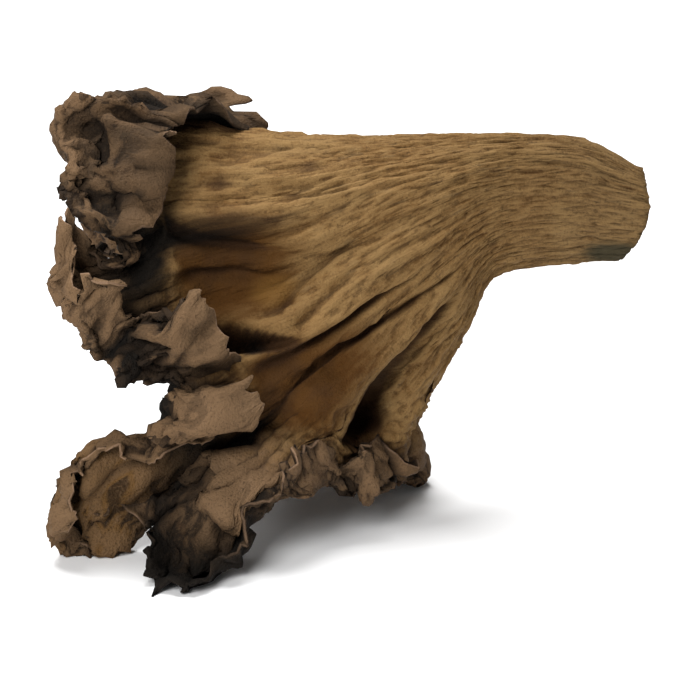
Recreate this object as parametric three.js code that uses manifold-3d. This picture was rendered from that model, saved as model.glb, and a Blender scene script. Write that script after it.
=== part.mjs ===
// A dried black trumpet mushroom, lying on its frilled margin as it comes out of the bag.
// One grown piece: a flat, hollow-looking stem that widens into a pleated funnel, whose margin
// has dried into lobes that roll back over the outside. Millimetres, +Z up, resting at Z 0.
import * as THREE from 'three';
import { mergeVertices } from 'three/addons/utils/BufferGeometryUtils.js';
import Module from 'manifold-3d';

// Viewing side: the lobes are placed as the eye meets them from the front, a little above the table.
const VIEW_TILT = Math.PI / 9;
const NEAREST_DEPTH = -22;

// Thickness of the sheet
const WALL_THICK = 1.1;
const MARGIN_THICK = 0.8;
const EDGE_THICK = 0.65;
const EDGE_ROUND = 0.25;

// The hollow: shares of the length where it ends, and the collapsed one at the cut end of the stem
const CAVITY_END = 0.35;
const CAVITY_CAP = 0.3;
const CUT_HOLLOW = 1.5;
const CUT_LIP = 0.62; // the mouth of that hollow against the outline of the cut
const CUT_FLOOR = 1.3; // the depth of its middle against its rim

// Where the middle of the finished outline stands, in the frame that the lobes are placed in
const CENTRE_X = 5.96;
const CENTRE_Y = 3.8;
const TRIM = 1.5; // how much of the lowest frills is pressed flat by the table

// Mesh density
const STEM_COLUMNS = 40;
const MARGIN_COLUMNS = 180; // the funnel has every second of them
const MARGIN_ROWS = 10;
const STEM_LEVELS = [0, 0.07, 0.14, 0.21, 0.28];
const FUNNEL_LEVELS = [0.43, 0.52, 0.6, 0.68, 0.76, 0.84, 0.92];

// How the margin is drawn between its stations, and how the drying sheet evens out
const RIB_SLACK = 0.75;
const EASING_PASSES = 5;
const EASE_LEAST = 0.12;
const EASE_MOST = 0.7;
const EASY_BEND = 0.15; // bend of the sheet, as a share of the spacing, that eases least
const HARD_BEND = 0.5; // and the one that eases most

// Crumples of the margin
const CRUMPLE = 1.5;
const CRUMPLE_START = 0.35; // share of the margin over which they grow
const CRUMPLE_ROOM = 1.6; // mm between two columns where they reach their full height
const GAP_SHARE = 0.4; // how much of the gap to the next layer they may take
const GAP_SPARE = 0.2;
const NEAR_ROWS = 3; // points nearer than this in the sheet are not another layer
const NEAR_COLUMNS = 4;

// Folds are opened until no cell of either face is turned over and no bend is sharper than this
const OPENING_PASSES = 200;
const OPEN_STEP = 0.5;
const OPEN_LEAST = 0.4;
const SHARPEST = 4 / 9 * Math.PI;

// Cross sections from the cut end of the stem to the rim of the funnel:
// share of the length, top and bottom as seen [across, up, depth], bulge to the front and to the back
const SECTIONS = [
  [0, [41.5, 50.5, 7], [39, 41, 7], [0, -2.2, 0], [0, 2.2, 0]],
  [0.2, [34, 54, 7], [33, 40.5, 7], [0, -2.7, 0], [0, 2.5, 0]],
  [0.4, [24.5, 54.5, 6], [24, 39, 6], [-0.5, -3.8, 0], [0, 3.4, 0]],
  [0.6, [12.5, 54, 5], [20.5, 33, 6], [-1, -8, -1], [1, 6, 1]],
  [0.82, [-0.5, 54.5, 5], [17, 26.5, 7], [-4, -13.5, -5], [-2, 11, -4]],
  [1, [-14.5, 56, 6], [15.5, 23, 7.5], [-4.5, -17, -7.9], [-5, 15, -8]],
];

// Pleats of the funnel: angle at the rim and at the throat, depth at the rim, width in degrees, start.
// Angles go round the mouth: 0 is its top, 90 the viewing side, 180 the bottom, 270 the back.
const PLEATS = [
  [64, 60, 5, 14, 0.5], // the broad hollow behind the pointed flap
  [103, 96, 3.2, 8, 0.45], // the long furrow
  [146, 130, 4.2, 9, 0.5], // the slot beside the strap
  [30, 35, 1.2, 7, 0.55],
  [124, 114, 1.5, 6, 0.55],
  [170, 152, 1.5, 7, 0.5],
  [200, 200, 3, 10, 0.45],
  [232, 225, 3.5, 11, 0.45],
  [262, 258, 3, 10, 0.5],
  [290, 290, 4, 12, 0.45],
  [322, 320, 2.5, 10, 0.5],
];

// The margin, round the mouth: angle where it leaves the rim, how far it runs straight on, the crest
// that it is bent towards, and its free edge, both as seen [across, up, depth]
const LOBES = [
  [-15, 11, [-28, 67.5, 14], [-1.5, 57.5, 12]], // the collar, folded back over the top
  [0, 12, [-33, 65, 1], [-10, 59, 1]],
  [12, 14, [-35.5, 58, -8], [-14.5, 57, -3.5]],
  [24, 14, [-35.5, 48.5, -13], [-13.5, 50, -6.5]],
  [33, 13, [-33.5, 45, -13], [-15.5, 43.5, -9]],
  [38, 6, [-17, 39.5, -7], [-20.5, 40, -11.5]], // a notch, where the hollow shows
  [41, 6, [-21.5, 36, -10], [-22.5, 40, -10]],
  [45, 6, [-25.5, 29.5, -12], [-27, 46, -8.5]], // the ribbon at the far left
  [49, 7, [-30, 26.5, -16], [-29, 43, -12]],
  [54, 8, [-31.5, 25, -19], [-24.5, 37.5, -15]],
  [59, 8, [-32, 24, -20], [-20.5, 34.5, -14.5]],
  [64, 9, [-32, 22.5, -21], [-17, 33, -14.5]],
  [69, 9, [-33.5, 19.5, -22], [-12.5, 39.5, -15.5]], // the pointed flap
  [74, 9, [-35, 20.5, -22], [-7.5, 31.5, -14.5]],
  [78, 8, [-33, 19, -17.5], [-6.5, 27.5, -12.5]],
  [82, 8, [-33.5, 17.5, -26], [-1.5, 26.5, -17]], // the roll below it
  [84.5, 8, [-30, 13.5, -25], [-1, 22.5, -17]],
  [87, 8, [-20, 15, -17], [-16, 16.5, -19]],
  [90, 7, [-17, 18, -11.5], [-18, 17.5, -15]],
  [93.5, 11, [-26, 19, -9], [-23, 17, -14.5]], // the low lobe at the left
  [97, 13, [-39.5, 10, -10], [-26, 12, -16.5]],
  [100.5, 13, [-37.5, -7.2, -10], [-26, 3, -14.5]],
  [104, 12, [-23.5, 0, -10.5], [-21, 6, -13.5]],
  [107, 10, [-18, 10, -10.5], [-18.5, 9.5, -12.5]],
  [110, 10, [-14.5, 10.5, -13], [-17.5, 7.5, -16]], // the foot
  [113, 10, [-14, 6.5, -17], [-17.5, 1.5, -23]],
  [116.5, 10, [-9.5, 3.5, -17], [-10.5, -2.2, -25.5]],
  [120, 8, [-5.5, 8.5, -15], [-4.5, 9, -21]], // the broad flap over the foot
  [124.5, 6, [-2, 12, -14], [-1, 13, -19]],
  [129.5, 5, [0.5, 14.5, -12.5], [-1, 16, -16]],
  [135, 4.5, [3, 15, -10.5], [0.5, 19.5, -12]], // the crumpled ledge
  [141, 5, [6, 7.5, -11], [6, 16.5, -9]],
  [148, 6, [10, 6.5, -6], [9.5, 17, -6]],
  [156, 6, [14.5, 8, 2], [13, 17, -1.5]],
  [166, 6, [18, 5, 10], [16.5, 13.4, 8.5]],
  [174, 6, [18.5, 3.5, 13], [16, 10.8, 13]],
  [182, 7, [17.5, 9.5, 20], [13, 15.9, 24]], // the frill behind, hidden from the front
  [198, 6, [13, 12.5, 25], [8, 19.2, 30]],
  [213, 7, [9, 18.5, 30], [9.5, 24.5, 29]],
  [229, 4, [5, 23.5, 24], [4, 23.5, 26]],
  [246, 8, [-4, 26.5, 33], [1, 33, 31]],
  [260, 9, [-11, 32.5, 34], [-2, 39.5, 31]],
  [273, 6, [-11, 35, 25], [-13, 36.5, 27]],
  [288, 10, [-40.5, 42, 26], [-24, 46.5, 31]],
  [303, 9, [-26, 51, 25], [-16, 55, 26]],
  [314, 7, [-24, 53, 20], [-20, 55, 24]],
  [330, 9, [-28, 62, 16], [-8, 60, 18]],
];

const { degToRad, smoothstep, lerp, clamp, euclideanModulo } = THREE.MathUtils;
const TURN = 2 * Math.PI;

// A point placed as seen from the front: to the right, up in the view, and away from the eye
function seen([across, up, depth]) {
  const fromNearest = (depth - NEAREST_DEPTH) * Math.sin(VIEW_TILT);
  return [across, depth, (up - fromNearest) / Math.cos(VIEW_TILT)];
}

// Rows of numbers joined by a smooth cubic through the places; a slack below 1 calms its swings
function through(places, rows, x, slack = 1) {
  let i = 0;
  while (i < places.length - 2 && x >= places[i + 1]) i += 1;
  const slope = (k, c) => {
    const a = Math.max(k - 1, 0);
    const b = Math.min(k + 1, places.length - 1);
    return slack * (rows[b][c] - rows[a][c]) / (places[b] - places[a]);
  };
  const step = places[i + 1] - places[i];
  const t = (x - places[i]) / step;
  const ease = t * t * (3 - 2 * t);
  return rows[0].map((_, c) => rows[i][c] * (1 - ease) + rows[i + 1][c] * ease
    + step * (t * (1 - t) * (1 - t) * slope(i, c) - t * t * (1 - t) * slope(i + 1, c)));
}

const vector = (numbers) => new THREE.Vector3(...numbers);
const between = (from, to) => to.clone().sub(from);

const sectionPlaces = SECTIONS.map(([share]) => share);
const sectionRows = SECTIONS.map(([, top, bottom, front, back]) => [
  ...seen(top), ...seen(bottom), ...front, ...back,
]);

// The smooth skin of stem and funnel, before it is pleated
function skin(share, angle) {
  const row = through(sectionPlaces, sectionRows, share);
  const top = vector(row.slice(0, 3));
  const bottom = vector(row.slice(3, 6));
  const bulge = vector(Math.sin(angle) > 0 ? row.slice(6, 9) : row.slice(9, 12));
  return top.clone().add(bottom).multiplyScalar(0.5)
    .addScaledVector(top.clone().sub(bottom), 0.5 * Math.cos(angle))
    .addScaledVector(bulge, Math.abs(Math.sin(angle)));
}

function skinNormal(share, angle) {
  const step = 0.001;
  const along = between(skin(Math.max(share - step, 0), angle), skin(Math.min(share + step, 1), angle));
  const round = between(skin(share, angle - step), skin(share, angle + step));
  return along.cross(round).normalize();
}

function pleatDepth(share, angle) {
  let depth = 0;
  for (const [atRim, atThroat, deep, width, start] of PLEATS) {
    const middle = degToRad(lerp(atThroat, atRim, smoothstep(share, 0.3, 1)));
    const off = euclideanModulo(angle - middle + Math.PI, TURN) - Math.PI;
    depth += deep * smoothstep(share, start, 1) * Math.exp(-(Math.abs(off / degToRad(width)) ** 1.5));
  }
  return depth;
}

function funnel(share, angle) {
  return skin(share, angle).addScaledVector(skinNormal(share, angle), -pleatDepth(share, angle));
}

// The margin's stations run on past both ends, so that the curves close round the mouth
const COUNT = LOBES.length;
const lobePlaces = [];
const lobeRows = [];
for (let k = -3; k < COUNT + 4; k += 1) {
  const [angle, reach, crest, edge] = LOBES[(k + COUNT) % COUNT];
  const turns = Math.floor(k / COUNT);
  lobePlaces.push(k);
  lobeRows.push([angle + 360 * turns, reach, ...seen(crest), ...seen(edge)]);
}

// One rib of the margin, from the rim to the free edge, as a Bezier curve
function rib(place) {
  const row = through(lobePlaces, lobeRows, place, RIB_SLACK);
  const angle = degToRad(row[0]);
  const rim = funnel(1, angle);
  const onward = between(funnel(0.96, angle), rim).normalize();
  const straight = rim.clone().addScaledVector(onward, row[1]);
  return { angle, points: [rim, straight, vector(row.slice(2, 5)), vector(row.slice(5, 8))] };
}

function alongRib({ points }, s) {
  const r = 1 - s;
  return points[0].clone().multiplyScalar(r * r * r)
    .addScaledVector(points[1], 3 * r * r * s)
    .addScaledVector(points[2], 3 * r * s * s)
    .addScaledVector(points[3], s * s * s);
}

// Crumples of the dried margin: waves of four lengths that bend one another
function crumple(place, s) {
  const w = place / COUNT * TURN;
  const q = 3 * s;
  return CRUMPLE * (0.8 * Math.sin(29 * w + 1.3 + 2.2 * q + 0.9 * Math.sin(9 * w + q))
    + 0.6 * Math.sin(47 * w + 0.4 - 3.1 * q + 1.2 * Math.sin(13 * w + 1 + 2 * q))
    + 0.35 * Math.sin(71 * w + 2.4 + 5.3 * q + 1.5 * Math.sin(17 * w + 2 - 3 * q))
    + 0.35 * Math.sin(23 * w + 9 * q + 2 * Math.sin(11 * w + 4 * q)));
}

// A ring of the sheet: its middle points, the angles that they stand at, and its thickness
function ringOfFunnel(share, angles) {
  return { angles, thick: WALL_THICK, middle: angles.map((angle) => funnel(share, angle)) };
}

const firstAngle = degToRad(LOBES[0][0]);
const evenAngles = (count) => Array.from({ length: count }, (_, i) => firstAngle + i / count * TURN);
const marginPlaces = Array.from({ length: MARGIN_COLUMNS }, (_, i) => i / MARGIN_COLUMNS * COUNT);
const marginAngles = marginPlaces.map((place) => rib(place).angle);
const funnelAngles = marginAngles.filter((_, i) => i % 2 === 0);

function ringOfMargin(s) {
  const thick = lerp(MARGIN_THICK, EDGE_THICK, s);
  return { angles: marginAngles, thick, middle: marginPlaces.map((place) => alongRib(rib(place), s)) };
}

const sameCount = (ring, other) => ring?.middle.length === other.middle.length;

// Directions out of the sheet, from each ring's own neighbours
function outward(rings) {
  return rings.map((ring, r) => ring.middle.map((point, i) => {
    const count = ring.middle.length;
    const before = sameCount(rings[r - 1], ring) ? rings[r - 1].middle[i] : point;
    const after = sameCount(rings[r + 1], ring) ? rings[r + 1].middle[i] : point;
    const round = between(ring.middle[(i + count - 1) % count], ring.middle[(i + 1) % count]);
    return between(before, after).cross(round).normalize();
  }));
}

// Closed body under construction: points and triangles
const points = [];
const triangles = [];
const addRing = (list) => list.map((point) => points.push(point) - 1);
const face = (a, b, c, flip) => triangles.push(flip ? [a, c, b] : [a, b, c]);

// A band between two rings. Equal rings split each cell across its shorter middle diagonal,
// so both faces of the sheet split alike; other rings are laced together by angle.
function band(ringA, idsA, ringB, idsB, flip) {
  const [na, nb] = [idsA.length, idsB.length];
  if (na === nb) {
    for (let i = 0; i < na; i += 1) {
      const j = (i + 1) % na;
      const [a, b, c, d] = [ringA.middle[i], ringA.middle[j], ringB.middle[j], ringB.middle[i]];
      if (a.distanceTo(c) < b.distanceTo(d)) {
        face(idsA[i], idsB[j], idsA[j], flip);
        face(idsA[i], idsB[i], idsB[j], flip);
      } else {
        face(idsA[i], idsB[i], idsA[j], flip);
        face(idsA[j], idsB[i], idsB[j], flip);
      }
    }
    return;
  }
  const angleOf = ({ angles }, k) => angles[k % angles.length] + TURN * Math.floor(k / angles.length);
  let [i, j] = [0, 0];
  while (i < na || j < nb) {
    const stepA = j >= nb || (i < na && angleOf(ringA, i + 1) <= angleOf(ringB, j + 1));
    if (stepA) {
      face(idsA[i % na], idsB[j % nb], idsA[(i + 1) % na], flip);
      i += 1;
    } else {
      face(idsA[i % na], idsB[j % nb], idsB[(j + 1) % nb], flip);
      j += 1;
    }
  }
}

function fan(ids, centre, flip) {
  const tip = points.push(centre) - 1;
  ids.forEach((id, i) => face(id, ids[(i + 1) % ids.length], tip, flip));
}

const centreOf = (list) => list.reduce((sum, p) => sum.add(p), new THREE.Vector3()).divideScalar(list.length);

const offset = (ring, normals, side) => ring.middle.map((p, i) => (
  p.clone().addScaledVector(normals[i], side * ring.thick / 2)
));

// Rings from the cut end of the stem to the free edge
const rings = [
  ...STEM_LEVELS.map((share) => ringOfFunnel(share, evenAngles(STEM_COLUMNS))),
  ...[CAVITY_END, ...FUNNEL_LEVELS].map((share) => ringOfFunnel(share, funnelAngles)),
  ringOfFunnel(1, marginAngles),
  ...Array.from({ length: MARGIN_ROWS }, (_, r) => ringOfMargin((r + 1) / MARGIN_ROWS)),
];

// The drying sheet evens out its creases: a point of the margin drifts towards its neighbours
const firstFree = rings.length - MARGIN_ROWS;
function easeMargin(weightOf) {
  const moved = rings.slice(firstFree).map((ring, k) => ring.middle.map((point, i) => {
    const r = firstFree + k;
    const count = ring.middle.length;
    const near = [ring.middle[(i + 1) % count], ring.middle[(i + count - 1) % count]];
    if (r + 1 < rings.length) near.push(rings[r - 1].middle[i], rings[r + 1].middle[i]);
    const goal = centreOf(near);
    const spacing = near.reduce((sum, p) => sum + p.distanceTo(point), 0) / near.length;
    return point.clone().lerp(goal, weightOf(r, i, goal.distanceTo(point) / spacing));
  }));
  moved.forEach((middle, k) => { rings[firstFree + k].middle = middle; });
}
for (let pass = 0; pass < EASING_PASSES; pass += 1) {
  easeMargin((r, i, bend) => lerp(EASE_LEAST, EASE_MOST, smoothstep(bend, EASY_BEND, HARD_BEND)));
}

// Crumples, as high as the columns' spacing and the gap to the next layer of the sheet let them be
const calm = rings.map((ring) => ring.middle);
const calmWays = outward(rings);

function gapTo(r, i) {
  let gap = Infinity;
  for (let row = firstFree - 1; row < rings.length; row += 1) {
    for (let k = 0; k < MARGIN_COLUMNS; k += 1) {
      const aside = Math.min(...[k - i, i - k].map((steps) => (steps + MARGIN_COLUMNS) % MARGIN_COLUMNS));
      if (Math.abs(row - r) > NEAR_ROWS || aside > NEAR_COLUMNS) {
        gap = Math.min(gap, calm[row][k].distanceTo(calm[r][i]));
      }
    }
  }
  return gap;
}

for (let r = firstFree; r < rings.length; r += 1) {
  const s = (r - firstFree + 1) / MARGIN_ROWS;
  rings[r].middle = calm[r].map((point, i) => {
    const beside = [1, MARGIN_COLUMNS - 1].map((step) => calm[r][(i + step) % MARGIN_COLUMNS]);
    const room = Math.min(...beside.map((other) => other.distanceTo(point) / CRUMPLE_ROOM), 1);
    const wish = crumple(marginPlaces[i], s) * room * smoothstep(s, 0, CRUMPLE_START);
    const most = GAP_SHARE * Math.max(gapTo(r, i) - MARGIN_THICK - GAP_SPARE, 0);
    return point.clone().addScaledVector(calmWays[r][i], clamp(wish, -most, most));
  });
}

// Points where a cell of one face is turned over, or where the sheet bends too sharply
function tightPoints() {
  const tight = new Set();
  const ways = outward(rings);
  const middles = rings.map((ring) => ring.middle);
  const faces = [1, -1].map((side) => rings.map((ring, r) => offset(ring, ways[r], side)));
  const facing = (list, r, i, j) => (
    between(list[r][i], list[r + 1][j]).cross(between(list[r][j], list[r + 1][i]))
  );
  const sharp = (a, b, c) => between(a, b).angleTo(between(b, c)) > SHARPEST;
  for (let r = firstFree - 1; r + 1 < rings.length; r += 1) {
    const count = middles[r].length;
    for (let i = 0; i < count; i += 1) {
      const j = (i + 1) % count;
      const middle = facing(middles, r, i, j);
      const least = Math.min(...faces.map((list) => facing(list, r, i, j).dot(middle)));
      const bent = sharp(middles[r + 1][(i + count - 1) % count], middles[r + 1][i], middles[r + 1][j])
        || (r + 2 < rings.length && sharp(middles[r][i], middles[r + 1][i], middles[r + 2][i]));
      if (bent || least < OPEN_LEAST * middle.lengthSq()) {
        for (let row = r - 1; row <= r + 2; row += 1) {
          for (let k = i - 1; k <= i + 2; k += 1) tight.add(row * count + (k + count) % count);
        }
      }
    }
  }
  return tight;
}

// Folds are opened step by step there, so that the two faces never pass through each other
for (let pass = 0; pass < OPENING_PASSES; pass += 1) {
  const tight = tightPoints();
  if (tight.size === 0) break;
  easeMargin((r, i) => (tight.has(r * MARGIN_COLUMNS + i) ? OPEN_STEP : 0));
}

const normals = outward(rings);
const outerIds = rings.map((ring, r) => addRing(offset(ring, normals[r], 1)));
for (let r = 0; r + 1 < rings.length; r += 1) {
  band(rings[r], outerIds[r], rings[r + 1], outerIds[r + 1], false);
}

// The inside of the funnel, down to where the walls have dried together
const firstInner = STEM_LEVELS.length;
const innerIds = rings.map((ring, r) => (r < firstInner ? null : addRing(offset(ring, normals[r], -1))));
for (let r = firstInner; r + 1 < rings.length; r += 1) {
  band(rings[r], innerIds[r], rings[r + 1], innerIds[r + 1], true);
}
fan(innerIds[firstInner], centreOf(ringOfFunnel(CAVITY_CAP, funnelAngles).middle), true);

// The free edge, rounded over
const last = rings.length - 1;
const lip = { ...rings[last], middle: rings[last].middle.map((p, i) => (
  p.clone().addScaledVector(between(rings[last - 1].middle[i], p).normalize(), EDGE_ROUND)
)) };
const lipIds = addRing(lip.middle);
band(rings[last], outerIds[last], lip, lipIds, false);
band(rings[last], innerIds[last], lip, lipIds, true);

// The cut end, with its collapsed hollow
const cut = offset(rings[0], normals[0], 1);
const cutCentre = centreOf(cut);
const inward = between(cutCentre, centreOf(rings[1].middle)).normalize().multiplyScalar(CUT_HOLLOW);
const hollow = cut.map((p) => p.clone().lerp(cutCentre, CUT_LIP).add(inward));
const hollowIds = addRing(hollow);
band({ ...rings[0], middle: cut }, outerIds[0], { ...rings[0], middle: hollow }, hollowIds, true);
fan(hollowIds, cutCentre.clone().addScaledVector(inward, CUT_FLOOR), false);

// Stand it on the table: shift to the middle of the outline and press the lowest frills flat
const shift = new THREE.Vector3(-CENTRE_X, -CENTRE_Y, -TRIM);
points.forEach((p) => p.add(shift));

const wasm = await Module();
wasm.setup();

function solidOf(positions, faces) {
  return new wasm.Manifold(new wasm.Mesh({
    numProp: 3,
    vertProperties: Float32Array.from(positions),
    triVerts: Uint32Array.from(faces),
  }));
}

const whole = solidOf(points.flatMap((p) => p.toArray()), triangles.flat());
const table = new THREE.BoxGeometry(200, 200, 20).translate(0, 0, -10);
table.deleteAttribute('normal');
table.deleteAttribute('uv');
const tableMesh = mergeVertices(table);
const standing = whole.subtract(solidOf(tableMesh.attributes.position.array, tableMesh.index.array));

const result = standing.getMesh();
const geometry = new THREE.BufferGeometry();
geometry.setAttribute('position', new THREE.BufferAttribute(result.vertProperties, 3));
geometry.setIndex(new THREE.BufferAttribute(result.triVerts, 1));

const flesh = new THREE.MeshStandardMaterial({ color: 0x6e5236, roughness: 0.85, metalness: 0 });
const mushroom = new THREE.Mesh(geometry, flesh);
mushroom.name = 'trumpet_mushroom';

const part = new THREE.Group();
part.add(mushroom);

export default part;
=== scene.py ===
# %% [markdown]
# # A dried black trumpet mushroom
#
# The mushroom is a thin sheet of flesh. It starts as a flat, ribbed stem, opens into a pleated
# funnel and ends in a crumpled margin that rolls back over the outside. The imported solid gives
# its place and its main forms. This script grows the same sheet again from the same driving
# sizes, much finer, and then adds what only a close look shows: ribs, furrows, crinkles, a torn
# edge, fibres and colour.

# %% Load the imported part
from math import cos, pi, radians, sin

import bpy
import numpy as np
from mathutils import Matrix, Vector, noise
from mathutils.bvhtree import BVHTree


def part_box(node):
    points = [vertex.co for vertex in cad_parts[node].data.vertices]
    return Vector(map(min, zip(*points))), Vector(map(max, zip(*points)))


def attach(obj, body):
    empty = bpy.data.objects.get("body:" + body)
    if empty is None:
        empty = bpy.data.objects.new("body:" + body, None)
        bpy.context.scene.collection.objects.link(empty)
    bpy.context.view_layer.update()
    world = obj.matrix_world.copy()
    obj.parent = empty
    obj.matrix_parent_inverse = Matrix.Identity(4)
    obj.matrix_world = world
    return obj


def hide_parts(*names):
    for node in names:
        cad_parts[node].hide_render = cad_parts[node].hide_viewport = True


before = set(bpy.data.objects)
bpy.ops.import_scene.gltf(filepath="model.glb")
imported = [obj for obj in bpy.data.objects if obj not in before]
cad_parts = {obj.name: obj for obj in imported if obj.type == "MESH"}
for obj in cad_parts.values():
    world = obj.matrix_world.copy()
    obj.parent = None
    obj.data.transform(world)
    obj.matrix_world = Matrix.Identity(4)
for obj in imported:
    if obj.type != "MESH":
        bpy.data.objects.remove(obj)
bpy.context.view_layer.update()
PIECE = "trumpet_mushroom"
low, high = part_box(PIECE)
print("packed box in mm:", [round(v * 1000, 1) for v in (high - low)])

# %% [markdown]
# ## Driving sizes
#
# The mushroom could be sculpted by hand, but then nothing in it could be changed or explained.
# Here it is drawn as the grower's eye would describe it: a few cross sections for the stem and
# funnel, a list of pleats, and stations round the mouth that say where the margin bends and
# where its edge ends. All lengths are in millimetres until the mesh is made.

# %% Driving sizes
MM = 0.001
VIEW_TILT = pi / 9  # how far the view looks down
NEAREST_DEPTH = -22.0  # the depth that the view turns about
SHIFT = np.array([-5.96, -3.8, -1.5])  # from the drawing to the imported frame
WALL_THICK = 1.1  # of the stem, the funnel and the rim
MARGIN_THICK = 0.8  # of the solid's margin beside the rim
EDGE_THICK = 0.65  # of the solid's free edge
THROAT = 0.35  # share of the length where the hollow ends
LEAN_FROM = 0.3  # share of the length from which the pleats lean aside
PLEAT_POWER = 1.5  # how sharp their valleys are

# Cross sections: share of the length, top, bottom [across, up, depth], front and back bulge
SECTIONS = [
    (0, (41.5, 50.5, 7), (39, 41, 7), (0, -2.2, 0), (0, 2.2, 0)),
    (0.2, (34, 54, 7), (33, 40.5, 7), (0, -2.7, 0), (0, 2.5, 0)),
    (0.4, (24.5, 54.5, 6), (24, 39, 6), (-0.5, -3.8, 0), (0, 3.4, 0)),
    (0.6, (12.5, 54, 5), (20.5, 33, 6), (-1, -8, -1), (1, 6, 1)),
    (0.82, (-0.5, 54.5, 5), (17, 26.5, 7), (-4, -13.5, -5), (-2, 11, -4)),
    (1, (-14.5, 56, 6), (15.5, 23, 7.5), (-4.5, -17, -7.9), (-5, 15, -8)),
]

# Pleats of the funnel: angle at the rim and at the throat, depth, width in degrees, start
PLEATS = [
    (64, 60, 5, 14, 0.5),
    (103, 96, 3.2, 8, 0.45),
    (146, 130, 4.2, 9, 0.5),
    (30, 35, 1.2, 7, 0.55),
    (124, 114, 1.5, 6, 0.55),
    (170, 152, 1.5, 7, 0.5),
    (200, 200, 3, 10, 0.45),
    (232, 225, 3.5, 11, 0.45),
    (262, 258, 3, 10, 0.5),
    (290, 290, 4, 12, 0.45),
    (322, 320, 2.5, 10, 0.5),
]

# The margin: angle at the rim, straight run, crest and free edge as seen [across, up, depth]
LOBES = [
    (-15, 11, (-28, 67.5, 14), (-1.5, 57.5, 12)),  # the collar, folded back over the top
    (0, 12, (-33, 65, 1), (-10, 59, 1)),
    (12, 14, (-35.5, 58, -8), (-14.5, 57, -3.5)),
    (24, 14, (-35.5, 48.5, -13), (-13.5, 50, -6.5)),
    (33, 13, (-33.5, 45, -13), (-15.5, 43.5, -9)),
    (38, 6, (-17, 39.5, -7), (-20.5, 40, -11.5)),  # a notch, where the hollow shows
    (41, 6, (-21.5, 36, -10), (-22.5, 40, -10)),
    (45, 6, (-25.5, 29.5, -12), (-27, 46, -8.5)),  # the ribbon at the far left
    (49, 7, (-30, 26.5, -16), (-29, 43, -12)),
    (54, 8, (-31.5, 25, -19), (-24.5, 37.5, -15)),
    (59, 8, (-32, 24, -20), (-20.5, 34.5, -14.5)),
    (64, 9, (-32, 22.5, -21), (-17, 33, -14.5)),
    (69, 9, (-33.5, 19.5, -22), (-12.5, 39.5, -15.5)),  # the pointed flap
    (74, 9, (-35, 20.5, -22), (-7.5, 31.5, -14.5)),
    (78, 8, (-33, 19, -17.5), (-6.5, 27.5, -12.5)),
    (82, 8, (-33.5, 17.5, -26), (-1.5, 26.5, -17)),  # the roll below it
    (84.5, 8, (-30, 13.5, -25), (-1, 22.5, -17)),
    (87, 8, (-20, 15, -17), (-16, 16.5, -19)),
    (90, 7, (-17, 18, -11.5), (-18, 17.5, -15)),
    (93.5, 11, (-26, 19, -9), (-23, 17, -14.5)),  # the low lobe at the left
    (97, 13, (-39.5, 10, -10), (-26, 12, -16.5)),
    (100.5, 13, (-37.5, -7.2, -10), (-26, 3, -14.5)),
    (104, 12, (-23.5, 0, -10.5), (-21, 6, -13.5)),
    (107, 10, (-18, 10, -10.5), (-18.5, 9.5, -12.5)),
    (110, 10, (-14.5, 10.5, -13), (-17.5, 7.5, -16)),  # the foot
    (113, 10, (-14, 6.5, -17), (-17.5, 1.5, -23)),
    (116.5, 10, (-9.5, 3.5, -17), (-10.5, -2.2, -25.5)),
    (120, 8, (-5.5, 8.5, -15), (-4.5, 9, -21)),  # the broad flap over the foot
    (124.5, 6, (-2, 12, -14), (-1, 13, -19)),
    (129.5, 5, (0.5, 14.5, -12.5), (-1, 16, -16)),
    (135, 4.5, (3, 15, -10.5), (0.5, 19.5, -12)),  # the crumpled ledge
    (141, 5, (6, 7.5, -11), (6, 16.5, -9)),
    (148, 6, (10, 6.5, -6), (9.5, 17, -6)),
    (156, 6, (14.5, 8, 2), (13, 17, -1.5)),
    (166, 6, (18, 5, 10), (16.5, 13.4, 8.5)),
    (174, 6, (18.5, 3.5, 13), (16, 10.8, 13)),
    (182, 7, (17.5, 9.5, 20), (13, 15.9, 24)),  # the frill behind
    (198, 6, (13, 12.5, 25), (8, 19.2, 30)),
    (213, 7, (9, 18.5, 30), (9.5, 24.5, 29)),
    (229, 4, (5, 23.5, 24), (4, 23.5, 26)),
    (246, 8, (-4, 26.5, 33), (1, 33, 31)),
    (260, 9, (-11, 32.5, 34), (-2, 39.5, 31)),
    (273, 6, (-11, 35, 25), (-13, 36.5, 27)),
    (288, 10, (-40.5, 42, 26), (-24, 46.5, 31)),
    (303, 9, (-26, 51, 25), (-16, 55, 26)),
    (314, 7, (-24, 53, 20), (-20, 55, 24)),
    (330, 9, (-28, 62, 16), (-8, 60, 18)),
]
COUNT = len(LOBES)

# %% [markdown]
# ## The stem and the funnel
#
# A stem that has dried flat and opens into a funnel is one smooth skin. It could be lofted with
# curves, but a formula gives any number of points, and its normals too. Each cross section is an
# oval with its own bulge to the front and to the back, and the pleats are valleys that grow
# towards the rim.

# %% The smooth skin and its pleats
def seen(point):
    """A point placed as seen from the front: to the right, up in the view, away from the eye."""
    across, up, depth = point
    return [across, depth, (up - (depth - NEAREST_DEPTH) * sin(VIEW_TILT)) / cos(VIEW_TILT)]


def unit(vectors):
    return vectors / np.maximum(np.linalg.norm(vectors, axis=-1, keepdims=True), 1e-9)


def smoothstep(x, start, end):
    t = np.clip((x - start) / (end - start), 0, 1)
    return t * t * (3 - 2 * t)


def lerp(a, b, t):
    return a + (b - a) * t


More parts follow.
